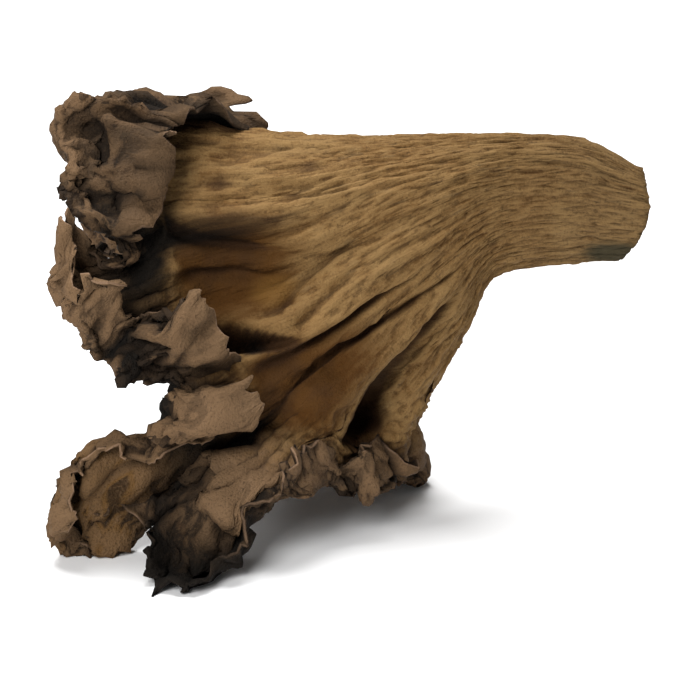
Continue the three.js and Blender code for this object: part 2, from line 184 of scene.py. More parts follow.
def through(places, rows, x, slack=1.0):
    """Rows of numbers joined by a smooth cubic through the places; a low slack calms its swings."""
    last = len(places) - 1
    i = np.clip(np.searchsorted(places, x, side="right") - 1, 0, last - 1)

    def slope(k):
        a, b = np.maximum(k - 1, 0), np.minimum(k + 1, last)
        return slack * (rows[b] - rows[a]) / (places[b] - places[a])[..., None]

    step = (places[i + 1] - places[i])[..., None]
    t = (x - places[i])[..., None] / step
    ease = t * t * (3 - 2 * t)
    swing = t * (1 - t) ** 2 * slope(i) - t * t * (1 - t) * slope(i + 1)
    return rows[i] * (1 - ease) + rows[i + 1] * ease + step * swing


section_places = np.array([section[0] for section in SECTIONS], float)
section_rows = np.array([
    [*seen(top), *seen(bottom), *front, *back] for _, top, bottom, front, back in SECTIONS
])


def skin(share, angle):
    """The smooth skin of stem and funnel, before it is pleated."""
    share, angle = np.broadcast_arrays(np.asarray(share, float), angle)
    row = through(section_places, section_rows, share)
    top, bottom, front, back = (row[..., k:k + 3] for k in (0, 3, 6, 9))
    bulge = np.where((np.sin(angle) > 0)[..., None], front, back)
    side = np.abs(np.sin(angle))[..., None]
    return (top + bottom) / 2 + (top - bottom) / 2 * np.cos(angle)[..., None] + bulge * side


def skin_normal(share, angle, step=0.001):
    along = skin(np.minimum(share + step, 1), angle) - skin(np.maximum(share - step, 0), angle)
    around = skin(share, angle + step) - skin(share, angle - step)
    return unit(np.cross(along, around))


def pleat_depth(share, angle):
    """How deep the pleats are: valleys that grow towards the rim."""
    depth = 0
    for at_rim, at_throat, deep, width, start in PLEATS:
        middle = np.radians(lerp(at_throat, at_rim, smoothstep(share, LEAN_FROM, 1)))
        off = (angle - middle + pi) % (2 * pi) - pi
        valley = np.exp(-(np.abs(off / radians(width)) ** PLEAT_POWER))
        depth = depth + deep * smoothstep(share, start, 1) * valley
    return depth


def funnel(share, angle):
    share, angle = np.broadcast_arrays(np.asarray(share, float), angle)
    return skin(share, angle) - skin_normal(share, angle) * pleat_depth(share, angle)[..., None]


# %% [markdown]
# ## The margin
#
# The margin leaves the rim, bends over and hangs back in lobes. Round the mouth, each place has
# a rib: a Bezier curve from the rim, over a crest, to the free edge. Then the sheet is eased,
# crumpled and opened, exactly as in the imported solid, so the fine sheet lies where the solid
# lies. A cloth simulation could crumple it too, but it would not land on the same folds.

# %% Ribs of the margin
RIB_SLACK = 0.75
BEFORE_RIM = 0.96  # share of the length from which a rib takes its way on past the rim
lobe_places = np.arange(-3, COUNT + 4)
lobe_rows = np.array([
    [LOBES[k % COUNT][0] + 360 * (k // COUNT), LOBES[k % COUNT][1],
     *seen(LOBES[k % COUNT][2]), *seen(LOBES[k % COUNT][3])]
    for k in lobe_places
])
lobe_places = lobe_places.astype(float)


def rib_angle(place):
    return np.radians(through(lobe_places, lobe_rows, place, RIB_SLACK)[..., 0])


def along_rib(place, s):
    """Points at share s of the ribs at these places, from the rim to the free edge."""
    row = through(lobe_places, lobe_rows, place, RIB_SLACK)
    angle = np.radians(row[..., 0])
    rim = funnel(1, angle)
    onward = unit(rim - funnel(BEFORE_RIM, angle))
    straight = rim + onward * row[..., 1:2]
    r = 1 - s
    return r ** 3 * rim + 3 * r * r * s * straight + 3 * r * s * s * row[..., 2:5] + s ** 3 * row[..., 5:8]


# %% The coarse sheet, eased and crumpled as the solid is
COARSE_COLUMNS = 180
COARSE_ROWS = 10
EASING_PASSES = 5
SMOOTH_BEND, SHARP_BEND = 0.15, 0.5  # how far a point lies off, in units of the spacing
EASE_SMOOTH, EASE_SHARP = 0.12, 0.7  # share of the way that such a point drifts in a pass
CRUMPLE = 1.5
CRUMPLE_FROM = 0.35  # share out from which the crumples have their full height
FULL_ROOM = 1.6  # mm between neighbours that leave room for it
GAP_SHARE = 0.4  # share of the gap to the next layer that a crumple may fill
CLEARANCE = 0.2
OPENING_PASSES = 200
OPENING_STEP = 0.5
SHARPEST = 4 / 9 * pi
LEAST_CELL = 0.4  # how small a cell of one face may get beside the middle's

coarse_places = np.arange(COARSE_COLUMNS) / COARSE_COLUMNS * COUNT
coarse_s = np.arange(COARSE_ROWS + 1) / COARSE_ROWS
coarse_thick = np.where(coarse_s > 0, lerp(MARGIN_THICK, EDGE_THICK, coarse_s), WALL_THICK)


def turned(grid, steps):
    """The grid with every ring turned, so that each point meets its neighbour round the mouth."""
    return np.roll(grid, -steps, axis=1)


def outward(grid):
    """Directions out of the sheet, from each point's neighbours."""
    before = np.concatenate([grid[:1], grid[:-1]])
    after = np.concatenate([grid[1:], grid[-1:]])
    return unit(np.cross(after - before, turned(grid, 1) - turned(grid, -1)))


def eased(grid, weight_of):
    """The sheet after each point has drifted towards its neighbours; the rim stays."""
    beside = [turned(grid, 1)[1:], turned(grid, -1)[1:]]
    inside = [grid[:-2], grid[2:]]
    here = grid[1:]
    goal = sum(beside) / 2
    goal[:-1] = (beside[0][:-1] + beside[1][:-1] + inside[0] + inside[1]) / 4
    reach = [np.linalg.norm(other - here, axis=-1) for other in beside]
    spacing = sum(reach) / 2
    ends = [np.linalg.norm(other - here[:-1], axis=-1) for other in inside]
    spacing[:-1] = (reach[0][:-1] + reach[1][:-1] + ends[0] + ends[1]) / 4
    bend = np.linalg.norm(goal - here, axis=-1) / spacing
    moved = grid.copy()
    moved[1:] += (goal - here) * weight_of(bend)[..., None]
    return moved


def crumple(place, s):
    """Crumples of the dried margin: waves of four lengths that bend one another."""
    turn = place / COUNT * 2 * pi
    out = 3 * s
    return CRUMPLE * (
        0.8 * np.sin(29 * turn + 1.3 + 2.2 * out + 0.9 * np.sin(9 * turn + out))
        + 0.6 * np.sin(47 * turn + 0.4 - 3.1 * out + 1.2 * np.sin(13 * turn + 1 + 2 * out))
        + 0.35 * np.sin(71 * turn + 2.4 + 5.3 * out + 1.5 * np.sin(17 * turn + 2 - 3 * out))
        + 0.35 * np.sin(23 * turn + 9 * out + 2 * np.sin(11 * turn + 4 * out)))


def gap_to_next(grid, near_rows=3, near_columns=4):
    """The distance from each point to the nearest other layer of the sheet."""
    rows, columns = np.indices(grid.shape[:2])
    flat, r, c = grid.reshape(-1, 3), rows.ravel(), columns.ravel()
    distance = np.linalg.norm(flat[:, None] - flat[None], axis=-1)
    aside = np.abs(c[:, None] - c[None])
    aside = np.minimum(aside, COARSE_COLUMNS - aside)
    same_layer = (np.abs(r[:, None] - r[None]) <= near_rows) & (aside <= near_columns)
    distance[same_layer] = np.inf
    return distance.min(axis=1).reshape(grid.shape[:2])


def tight_points(grid):
    """Points where a cell of one face is turned over, or where the sheet bends too sharply."""
    def facing(points):
        right = turned(points, 1)
        return np.cross(right[1:] - points[:-1], points[1:] - right[:-1])

    def sharp(a, b, c):
        turn = np.sum(unit(b - a) * unit(c - b), axis=-1)
        return np.arccos(np.clip(turn, -1, 1)) > SHARPEST

    ways = outward(grid) * coarse_thick[:, None, None] / 2
    middle = facing(grid)
    least = np.minimum(*(np.sum(facing(grid + side * ways) * middle, axis=-1) for side in (1, -1)))
    bent = sharp(turned(grid, -1)[1:], grid[1:], turned(grid, 1)[1:])
    bent[:-1] |= sharp(grid[:-2], grid[1:-1], grid[2:])
    cells = bent | (least < LEAST_CELL * np.sum(middle * middle, axis=-1))
    tight = np.zeros(grid.shape[:2], bool)
    for r, i in np.argwhere(cells):
        columns = np.arange(i - 1, i + 3) % COARSE_COLUMNS
        tight[max(r - 1, 0):r + 3, columns] = True
    return tight


coarse = np.array([along_rib(coarse_places, s) for s in coarse_s])
coarse[0] = funnel(1, rib_angle(coarse_places))


def drift(bend):
    return lerp(EASE_SMOOTH, EASE_SHARP, smoothstep(bend, SMOOTH_BEND, SHARP_BEND))


for _ in range(EASING_PASSES):
    coarse = eased(coarse, drift)
gap = gap_to_next(coarse)
beside = [np.linalg.norm(turned(coarse, step) - coarse, axis=-1) for step in (1, -1)]
coarse_room = np.minimum(np.minimum(*beside) / FULL_ROOM, 1)
wish = crumple(coarse_places, coarse_s[:, None]) * coarse_room
wish = wish * smoothstep(coarse_s, 0, CRUMPLE_FROM)[:, None]
most = GAP_SHARE * np.maximum(gap - MARGIN_THICK - CLEARANCE, 0)
most[0] = 0
coarse = coarse + outward(coarse) * np.clip(wish, -most, most)[..., None]
for opening in range(OPENING_PASSES):
    tight = tight_points(coarse)
    if not tight.any():
        break
    coarse = eased(coarse, lambda bend: OPENING_STEP * tight[1:])
print("coarse sheet opened in", opening, "passes")

# %% [markdown]
# ## From the coarse sheet to a fine one
#
# A subdivision surface would shrink the folds and round off the tips. A Catmull-Rom patch goes
# through every point of the coarse sheet instead, so the fine sheet stays on the solid and any
# number of rows and columns can be drawn from it.

# %% The fine margin
FINE_COLUMNS = 720
FINE_ROWS = 45
DRAWN_ROWS = 8  # rows drawn for each row of the coarse sheet
GHOST_SHARE = 0.94  # share of the length at which the row before the rim lies


def patch_weights(x, count, periodic):
    """Catmull-Rom weights of a row of points at the places x."""
    i = np.floor(x).astype(int)
    t = x - i
    weights = np.zeros((len(x), count))
    shares = (-t + 2 * t**2 - t**3, 2 - 5 * t**2 + 3 * t**3, t + 4 * t**2 - 3 * t**3, t**3 - t**2)
    for step, share in zip((-1, 0, 1, 2), shares):
        at = (i + step) % count if periodic else np.clip(i + step, 0, count - 1)
        np.add.at(weights, (np.arange(len(x)), at), share / 2)
    return weights


fine_places = np.arange(FINE_COLUMNS) / FINE_COLUMNS * COUNT
round_mouth = patch_weights(np.arange(FINE_COLUMNS) / FINE_COLUMNS * COARSE_COLUMNS, COARSE_COLUMNS, True)


def spread(grid, rows):
    """A coarse grid, points or numbers, drawn at the fine columns and at these rows."""
    out = patch_weights(rows, len(grid), False)
    return np.einsum("ar,rc...,bc->ab...", out, grid, round_mouth, optimize=True)


def noise_field(points, seed, octaves=3):
    """Smooth noise, about -1 to 1, at each point."""
    move = Vector((seed * 17.3, seed * 5.1, seed * 9.7))
    values = [noise.fractal(Vector(p) + move, 0.9, 2.1, octaves) for p in points.reshape(-1, 3)]
    return np.array(values).reshape(points.shape[:-1])


def crease_field(points, seed, octaves=2):
    """Noise with sharp ridges: 1 on the ridges, and lower, down to -1, between them."""
    return 1 - np.abs(noise_field(points, seed, octaves)) * 2


# %% [markdown]
# ## Crinkles and a torn edge
#
# Thin flesh dries unevenly: it crinkles across its ribs, and its edge tears. The crinkles are
# waves of noise laid out in the sheet's own directions, so they follow the lobes, and they are
# kept lower where another layer lies close. Knots and pinches are laid out in space instead,
# because the sheet's own columns crowd together where a lobe is narrow.

# %% Where the margin ends
MARGIN_ROUND = 46.0  # mm, the radius that the free edge would have if it were laid out flat
MARGIN_LONG = 26.0  # mm, from the rim to the free edge
NICK = 0.1  # share of the margin that the deepest tears take
TEARS_FROM = 0.4  # share out from which the rows draw in towards the tears

theta = fine_places / COUNT * 2 * pi
edge_ring = np.stack([np.cos(theta), np.sin(theta), 0 * theta], axis=-1) * MARGIN_ROUND
# Broad tears, and a fine fringe between them
tear = smoothstep(noise_field(edge_ring / 4.5, 3, 2), 0.1, 0.7)
ragged = smoothstep(noise_field(edge_ring / 1.6, 4, 2), -0.2, 0.8)
ends_at = 1 - NICK * (0.85 * tear + 0.15 * ragged)

share_out = np.arange(FINE_ROWS + 1) / FINE_ROWS
fine_s = share_out[:, None] * lerp(1, ends_at, smoothstep(share_out, TEARS_FROM, 1)[:, None])
before_rim = funnel(GHOST_SHARE, rib_angle(coarse_places))[None]
past_edge = (2 * coarse[-1] - coarse[-2])[None]
padded_grid = np.concatenate([before_rim, coarse, past_edge])
even = np.linspace(0, COARSE_ROWS, DRAWN_ROWS * COARSE_ROWS + 1)
drawn = spread(padded_grid, even + 1)
off_rim = funnel(1, rib_angle(fine_places)) - drawn[0]
drawn += off_rim * (1 - smoothstep(even, 0, 2))[:, None, None]
gap_drawn = spread(np.concatenate([gap[:1], gap, gap[-1:]]), even + 1)


def at_rows(table):
    """Each column of an evenly drawn table, read at that column's own shares."""
    x = np.clip(fine_s * (len(table) - 1), 0, len(table) - 1.001)
    i = np.floor(x).astype(int)
    columns = np.arange(FINE_COLUMNS)[None].repeat(len(x), 0)
    t = (x - i).reshape(x.shape + (1,) * (table.ndim - 2))
    return table[i, columns] * (1 - t) + table[i + 1, columns] * t


middle = at_rows(drawn)
space = at_rows(gap_drawn)
print("the tears take at most", round(float(1 - ends_at.min()) * MARGIN_LONG, 1), "mm")

# %% The crinkled middle of the margin
# Calm places of the margin: station, share out, how far they reach in each, how calm
CALM = [
    (25.8, 0.33, 2.6, 0.2, 0.85),  # the broad flap
    (20, 0.55, 1.6, 0.25, 0.6),  # the middle of the low lobe
    (12.6, 0.9, 0.9, 0.2, 0.5),  # the pointed flap
    (24.4, 0.85, 1.2, 0.2, 0.5),  # the side of the foot
    (15.2, 0.95, 1.4, 0.16, 0.7),  # the roll
]


def spots_of(spots, station, along):
    """The sum of smooth spots over the stations and along the length."""
    total_height = 0 * station + 0 * along
    for at, share, broad, long, strength in spots:
        off = (station - at + COUNT / 2) % COUNT - COUNT / 2
        spot = np.exp(-(off / broad) ** 2 - ((along - share) / long) ** 2)
        total_height = total_height + strength * spot
    return total_height


theta_grid = theta[None] + 0 * fine_s
laid_out = np.stack([
    np.cos(theta_grid) * MARGIN_ROUND, np.sin(theta_grid) * MARGIN_ROUND, fine_s * MARGIN_LONG,
], axis=-1)
bend_by = np.stack([noise_field(laid_out / 6, seed) for seed in (5, 6, 7)], axis=-1) * 3.0


def sheet_wave(long_round, long_out, seed):
    """Creases of the laid-out sheet: their length round the mouth and outwards, in mm."""
    return crease_field((laid_out + bend_by) / (long_round, long_round, long_out), seed)


folds = sheet_wave(4.2, 6.5, 8)
pillows = -sheet_wave(5.2, 9.0, 10)
crimps = sheet_wave(2.3, 3.2, 20)
wrinkles = sheet_wave(1.4, 1.8, 9)
pleating = crease_field((laid_out + 0.3 * bend_by) / (0.9, 0.9, 7.0), 24)
knots = crease_field(middle / 3.4, 22)
pinches = crease_field(middle / 1.7, 23)

# Where the columns crowd, the sheet's own waves would be steep, so they are lower there
laid_spacing = 2 * pi * MARGIN_ROUND / FINE_COLUMNS
spacing = np.linalg.norm(turned(middle, 1) - turned(middle, -1), axis=-1) / 2
room = smoothstep(spacing / laid_spacing, 0.2, 0.9)
limit = 0.5 * np.maximum(space - MARGIN_THICK, 0.1)  # keeps clear of the next layer

# All heights in mm
height = 0.5 * folds + 0.7 * pillows + 0.3 * crimps + 0.2 * wrinkles + 0.45 * knots + 0.22 * pinches
height = height * smoothstep(fine_s, 0.05, 0.4) * room
height = height * (1 - spots_of(CALM, fine_places, fine_s))
height = np.clip(height, -limit, limit)
height = height + 0.09 * pleating * smoothstep(fine_s, 0.1, 0.4) * room
ridges = np.clip(0.4 * folds + 0.3 * wrinkles + 0.6 * pleating, -1, 1) * room
middle = middle + outward(middle) * height[..., None]
print("margin crinkles from", round(float(height.min()), 2), "to", round(float(height.max()), 2), "mm")

# %% [markdown]
# ## Folds, moves and curl
#
# Noise alone gives no fold that hangs over, and the plain ribs miss some turns of the margin.
# So the larger folds are listed one by one: each rises slowly and drops at once. Then single
# listed places are moved, and the free edge curls. Last, all near layers are bent together by
# smooth noise in space, which breaks up what is too even and cannot make them cross.

# %% Overhanging folds
# Folds that hang over: station and share out at both ends, height and overhang in mm
FOLDS = [
    (21.5, 0.36, 28.6, 0.6, 1.6, 2.6),  # the rolled bottom of the broad flap, over the foot
    (1.0, 0.84, 3.9, 0.74, 1.5, 1.1),  # a curled ridge down the collar
    (3.0, 0.5, 5.0, 0.6, 1.2, 1.0),  # a shorter one below it
    (8.4, 0.62, 11.0, 0.7, 1.2, 1.2),  # across the ribbon
    (11.5, 0.8, 14.3, 0.82, 1.6, 1.5),  # two across the pointed flap
    (11.6, 0.62, 14.5, 0.66, 1.4, 1.3),
    (14.6, 0.55, 16.6, 0.62, 1.3, 1.2),  # along the roll
    (18.4, 0.62, 21.5, 0.5, 1.4, 1.4),  # the thick rim of the low lobe
    (29.4, 0.45, 33.5, 0.55, 1.2, 1.2),  # across the crumpled ledge
    (36.5, 0.5, 39.5, 0.6, 1.2, 1.0),  # three on the far side
    (41.0, 0.55, 43.5, 0.45, 1.2, 1.0),
    (44.0, 0.5, 46.5, 0.6, 1.2, 1.0),
]


def folded(points):
    """The sheet with its overhanging folds: each rises slowly and drops at once towards the edge."""
    along = unit(np.gradient(points, axis=0))
    out = outward(points)
    shift = 0 * points
    for station_a, share_a, station_b, share_b, rise, hang in FOLDS:
        run = (fine_places - station_a) / (station_b - station_a)
        line = lerp(share_a, share_b, np.clip(run, 0, 1)) + 0.04 * np.sin(fine_places * 3.1)
        inside = smoothstep(run, -0.1, 0.25) * (1 - smoothstep(run, 0.75, 1.1))
        past = (fine_s - line) * MARGIN_LONG
        crest = smoothstep(past, -5.0, -0.6) * (1 - smoothstep(past, -0.6, 1.2)) * inside
        shift = shift + crest[..., None] * (rise * out + hang * along)
    return points + shift


middle = folded(middle)

# %% Places moved as seen
# Places that lie off the plain ribs: station, share out, reach in each, and how far they lie off
# as seen [across, up, nearer to the viewer] in mm
MOVES = [
    (26.3, 0.34, 2.6, 0.19, (0.6, 0.4, 3.8)),  # the broad flap
    (25.6, 0.8, 2.2, 0.25, (0, 0, -2.6)),  # the foot under it
    (27.3, 0.95, 0.9, 0.4, (-2.2, -1.5, -2.0)),  # the foot's right edge
    (29.7, 0.65, 1.2, 0.45, (0, -3.3, 0)),  # the ledge's end, beside the broad flap
    (31.5, 0.8, 0.9, 0.4, (0, 1.2, 0)),  # the ledge's top
    (12.9, 0.95, 0.8, 0.25, (0, 0, 1.5)),  # the pointed flap
    (12.6, 0.7, 1.4, 0.22, (2.6, 0, -2.0)),  # its root
    (10.8, 0.85, 1.1, 0.3, (0, 0, -3.0)),  # the crumpled hollow beside it
    (15.2, 1.0, 1.9, 0.22, (-0.3, -1.0, -3.6)),  # the far side of the roll
    (15.1, 1.0, 0.7, 0.12, (-2.6, 0.6, -0.8)),  # its right end, rounded
    (8.9, 0.99, 1.5, 0.14, (3.0, 0.8, 1.0)),  # the free side of the ribbon
    (22.3, 0.92, 0.9, 0.18, (-2.2, 2.6, 0)),  # the corner of the low lobe
    (34.1, 0.92, 0.9, 0.2, (-2.2, 1.6, 0)),  # the corner of the frill behind the strap
    (3.0, 0.98, 1.8, 0.12, (-1.1, 0, 0)),  # the collar's free side
    (0.6, 0.97, 1.3, 0.2, (0, -2.2, 0)),  # the strip along the top
]

# Across, up and nearer as seen, as directions of the drawing
screen_ways = np.array([
    [1, 0, 0],
    [0, sin(VIEW_TILT), cos(VIEW_TILT)],
    [0, -cos(VIEW_TILT), sin(VIEW_TILT)],
])
for *spot, move in MOVES:
    middle = middle + spots_of([(*spot, 1)], fine_places, fine_s)[..., None] * (move @ screen_ways)
print("places moved:", len(MOVES))

# %% The curled edge, and all of it bent a little
CURL = 2.4  # mm, at the free edge
CURL_FROM = 0.86


def shaken(points, size, reach, seed):
    """Points moved by smooth noise in space: near layers move together, so they never cross."""
    return np.stack([noise_field(points / size, seed + k, 2) for k in range(3)], axis=-1) * reach


curl = noise_field(edge_ring / 6.0, 12, 2) * CURL * smoothstep(share_out, CURL_FROM, 1)[:, None] ** 1.5
middle = middle + outward(middle) * np.clip(curl, -limit, limit)[..., None]
free = smoothstep(fine_s, 0.0, 0.5)[..., None]
middle = middle + shaken(middle, 7.0, 1.8, 31) * free
middle = middle + shaken(middle, 3.2, 0.6, 41) * free

# %% [markdown]
# ## Ribs and furrows of the wall
#
# Lengthwise fibres make the stem and funnel look like weathered wood: fine ribs all along, and
# furrows that open here and there and close again, with shade painted into them. They run with the
# length and are narrow round it, so the noise is stretched along the length. They are real relief,
# and not only bump, because the larger ones show in the outline of the stem.

# %% Relief of the outer face
SLIT_WANDER = 1.5  # degrees, how far a slit strays from its line
FAN_FROM, FAN_TO = 0.4, 0.7  # way from which the ribs grow, and where they are fully grown


def fibre_space(angle, way, ribs, runs):
    """Space in which noise makes fibres: ribs round the wall per radian, runs along its length."""
    return np.stack([np.cos(angle) * ribs, np.sin(angle) * ribs, way * runs + 0 * angle], axis=-1)


# Slits where the wall has folded on itself: angle and way at the start and at the end, width in
# degrees there, depth in mm
SLITS = [
    (92, 0.62, 88, 0.95, 1.4, 3.0, 2.4),  # the long furrow
    (110, 0.52, 99, 0.84, 1.2, 2.4, 1.4),  # a finer one beside it
    (125, 0.57, 141, 0.99, 4.0, 9.5, 6.5),  # the slot beside the strap
    (86, 0.87, 76, 1.0, 2.6, 4.2, 8.0),  # the slot under the pointed flap
    (57, 0.8, 39, 1.0, 1.8, 3.4, 2.6),  # two folds in the hollow behind it
    (65, 0.82, 53, 0.99, 1.5, 2.4, 1.5),
    (71, 0.66, 81, 0.86, 1.4, 2.2, 1.0),  # four fine ones above the long furrow
    (60, 0.7, 73, 0.88, 1.4, 2.6, 1.3),
    (44, 0.7, 48, 0.9, 1.2, 1.6, 0.8),
    (36, 0.66, 33, 0.86, 1.0, 1.4, 0.6),
    (160, 0.66, 163, 0.95, 1.4, 2.0, 1.2),  # four on the far side
    (214, 0.6, 214, 1.0, 1.4, 2.4, 1.8),
    (258, 0.55, 262, 1.0, 1.4, 2.4, 1.8),
    (301, 0.6, 300, 1.0, 1.4, 2.4, 1.8),
]

# Swellings and hollows of the sheet: station and way, their reach in each, height in mm
SWELLINGS = [
    (23, 0.93, 2.4, 0.07, 1.5),  # the pillow between the furrow and the slot
    (34, 0.86, 1.2, 0.16, 1.2),  # the strap
    (3.3, 1.93, 0.5, 0.05, -1.5),  # the hollow in the collar's free side
    (20.2, 1.68, 0.8, 0.08, -1.6),  # the hole at the bottom of the low lobe
    (17, 0.86, 0.8, 0.1, 0.8),  # the ridge over the slot under the flap
    (9, 0.93, 3.0, 0.09, -1.8),  # the hollow behind the pointed flap
]


def slits(angle, way):
    """How deep the slits are at a point of the sheet."""
    deepest = 0 * angle
    wander = SLIT_WANDER * noise_field(fibre_space(angle, way, 2, 6.0), 15, 2)
    for start_angle, start, end_angle, end, narrow, broad, depth in SLITS:
        share = np.clip((way - start) / (end - start), 0, 1)
        middle = lerp(start_angle, end_angle, share) + wander
        off = (np.degrees(angle) - middle + 180) % 360 - 180
        run = smoothstep(way, start - 0.04, start + 0.16)
        run = run * (1 - smoothstep(way, end - 0.03, end + 0.12))
        across = np.exp(-np.abs(off / lerp(narrow, broad, share)) ** 2.2)
        deepest = np.maximum(deepest, depth * run * across)
    return deepest


def forms(angle, place, way):
    """The larger forms that both faces share, in mm out of the sheet: slits and swellings."""
    station = place / (2 * pi) * COUNT
    height = -slits(angle, way)
    height = height + spots_of(SWELLINGS, station, way)
    near_rim = smoothstep(way, 0.74, 0.96) * (1 - smoothstep(way, 1.0, 1.3))
    return height + 0.5 * near_rim * crease_field(fibre_space(angle, way, 4.0, 9.0), 19, 2)


def wall_relief(angle, way):
    """The outer face's height in mm, its furrows and its ridges.

    Way is 0 at the cut end, 1 at the rim and 2 at the free edge.
    """
    plain = fibre_space(angle, way, 4, 9.0)
    stray = np.stack([noise_field(plain, seed, 2) for seed in (16, 17, 18)], axis=-1)
    ribs = noise_field(fibre_space(angle, way, 9, 4.0) + 0.5 * stray, 11, 2)
    crinkle = crease_field(fibre_space(angle, way, 15, 20.0) + 0.9 * stray, 13, 2)
    fine = crease_field(fibre_space(angle, way, 26, 40.0) + 1.2 * stray, 12, 2)
    furrow = smoothstep(noise_field(fibre_space(angle, way, 19, 7.0) + 0.6 * stray, 14, 2), 0.25, 0.7)
    fade = 1 - smoothstep(way, 1.0, 1.5)
    slit = smoothstep(slits(angle, way), 0.3, 2.0)
    fan = smoothstep(way, FAN_FROM, FAN_TO)
    height = lerp(0.26, 0.5, fan) * ribs + lerp(0.18, 0.26, fan) * crinkle
    height = height + 0.13 * fine - 0.2 * furrow
    ridge = 0.55 * crinkle + 0.45 * fine - 0.3
    # The second number is painted shade in the furrows, deepest in the slits; the third is paler on the
    # crests and painted shade in the creases
    return height * fade, np.maximum(0.12 * furrow, slit) * fade, ridge * fade


# %% [markdown]
# ## One closed mesh
#
# The outer face, the free edge, the inner face and the cut end are rings of points, joined ring
# to ring. Rings with different counts are laced together by angle. One closed mesh with a real
# thickness gives true shadows in the folds, where a single sheet with a solidify step would cross
# itself at the sharp ones.

# %% Rings and faces
FUNNEL_COLUMNS = 432
STEM_COLUMNS = 216
INNER_COLUMNS = 216
STEM_ROWS, FUNNEL_ROWS, INNER_ROWS = 19, 48, 28
STEM_TOP, FUNNEL_FROM = 0.34, 0.355  # shares of the length where the columns double
LAST_RING, LAST_INNER_RING = 0.985, 0.98  # shares where the last rings before the rim lie
HOLLOW_TIP = 0.05  # share of the length by which the hollow's tip lies beyond the throat
END_BULGE = 2.0  # mm, how far the middle of the cut end stands out
SHOWN_EDGE_THICK = 0.42  # mm, thinner than the solid's edge
LIP_ROUND = 0.16  # mm, how far the free edge is rounded out

points, faces, marks = [], [], []
total = 0
fine_angles = rib_angle(fine_places)


def add_ring(ring, angle, place, way, side, furrow=0.0, ridge=0.0):
    """Adds a ring of points with what the finish needs to know of them, and returns their numbers."""
    global total
    count = len(ring)
    points.append(ring)
    columns = (angle, place, way, side, furrow, ridge)
    marks.append(np.stack([np.broadcast_to(value, count) for value in columns], axis=-1))
    total += count
    return np.arange(total - count, total)


def join(ids_a, angles_a, ids_b, angles_b, flip):
    """Laces two rings together by their angles; equal rings give quads."""
    na, nb = len(ids_a), len(ids_b)
    if na == nb:
        quads = np.stack([ids_a, ids_b, np.roll(ids_b, -1), np.roll(ids_a, -1)], axis=-1)
        faces.extend((quads[:, ::-1] if flip else quads).tolist())
        return
    i = j = 0
    while i < na or j < nb:
        next_a = angles_a[(i + 1) % na] + 2 * pi * ((i + 1) // na)
        next_b = angles_b[(j + 1) % nb] + 2 * pi * ((j + 1) // nb)
        a, b = int(ids_a[i % na]), int(ids_b[j % nb])
        if j >= nb or (i < na and next_a <= next_b):
            triangle = [a, b, int(ids_a[(i + 1) % na])]
            i += 1
        else:
            triangle = [a, b, int(ids_b[(j + 1) % nb])]
            j += 1
        faces.append(triangle[::-1] if flip else triangle)


def join_all(rings, flip):
    """Laces each ring of a list to the next."""
    for (ids_a, angles_a), (ids_b, angles_b) in zip(rings, rings[1:]):
        join(ids_a, angles_a, ids_b, angles_b, flip)


def close_ring(ring, tip, flip):
    """Triangles from each side of a ring to one point inside it."""
    for a, b in zip(ring, np.roll(ring, -1)):
        faces.append([int(a), int(tip), int(b)] if flip else [int(a), int(b), int(tip)])


def even_angles(count):
    """Angles all round, from the first station's on."""
    return radians(LOBES[0][0]) + np.arange(count) / count * 2 * pi


def place_of(angle):
    """The station round the mouth, as an angle, that the wall's angle leads to."""
    turns = np.concatenate([fine_angles, fine_angles[:1] + 2 * pi])
    places = np.concatenate([theta, [2 * pi]])
    return np.interp((angle - fine_angles[0]) % (2 * pi) + fine_angles[0], turns, places)


def wall_ring(share, count, side):
    """A ring of the stem or funnel, on its outer (1) or inner (-1) face."""
    angle = even_angles(count)
    step = 0.004
    along = funnel(min(share + step, 1), angle) - funnel(max(share - step, 0), angle)
    around = funnel(share, angle + step) - funnel(share, angle - step)
    out = unit(np.cross(along, around))
    relief, furrow, ridge = wall_relief(angle, share) if side > 0 else (0 * angle,) * 3
    place = place_of(angle)
    shape = forms(angle, place, share)
    ring = funnel(share, angle) + out * (side * WALL_THICK / 2 + relief + shape)[..., None]
    ring[:, 0] += END_BULGE * np.sin(angle) ** 2 * (1 - smoothstep(share, 0, 0.12))
    return add_ring(ring, angle, place, share, (1 - side) / 2, furrow, ridge), angle


# %% The stem and the funnel
stem_shares = np.linspace(0, STEM_TOP, STEM_ROWS)
funnel_shares = np.linspace(FUNNEL_FROM, LAST_RING, FUNNEL_ROWS)
inner_shares = np.linspace(THROAT, LAST_INNER_RING, INNER_ROWS)
outer = [wall_ring(share, STEM_COLUMNS, 1) for share in stem_shares]
outer += [wall_ring(share, FUNNEL_COLUMNS, 1) for share in funnel_shares]
inner = [wall_ring(share, INNER_COLUMNS, -1) for share in inner_shares]
print("points of the stem and the funnel:", total)

# %% The margin's two faces, thinner towards the free edge
ghost = funnel(LAST_RING, rib_angle(fine_places))[None]
ways = outward(np.concatenate([ghost, middle]))[1:]
thick = lerp(WALL_THICK, SHOWN_EDGE_THICK, smoothstep(fine_s, 0, 0.9) ** 0.6)
for r in range(FINE_ROWS + 1):
    way = 1 + fine_s[r]
    relief, furrow, ridge = wall_relief(fine_angles, way)
    ridge = ridge + ridges[r] * smoothstep(fine_s[r], 0, 0.4)
    shape = forms(fine_angles, theta, way)
    front = middle[r] + ways[r] * (thick[r] / 2 + relief + shape)[:, None]
    back = middle[r] - ways[r] * (thick[r] / 2 - shape)[:, None]
    outer.append((add_ring(front, fine_angles, theta, way, 0.0, furrow, ridge), fine_angles))
    inner.append((add_ring(back, fine_angles, theta, way, 1.0, 0.0, -ridges[r]), fine_angles))
print("points with the margin:", total)

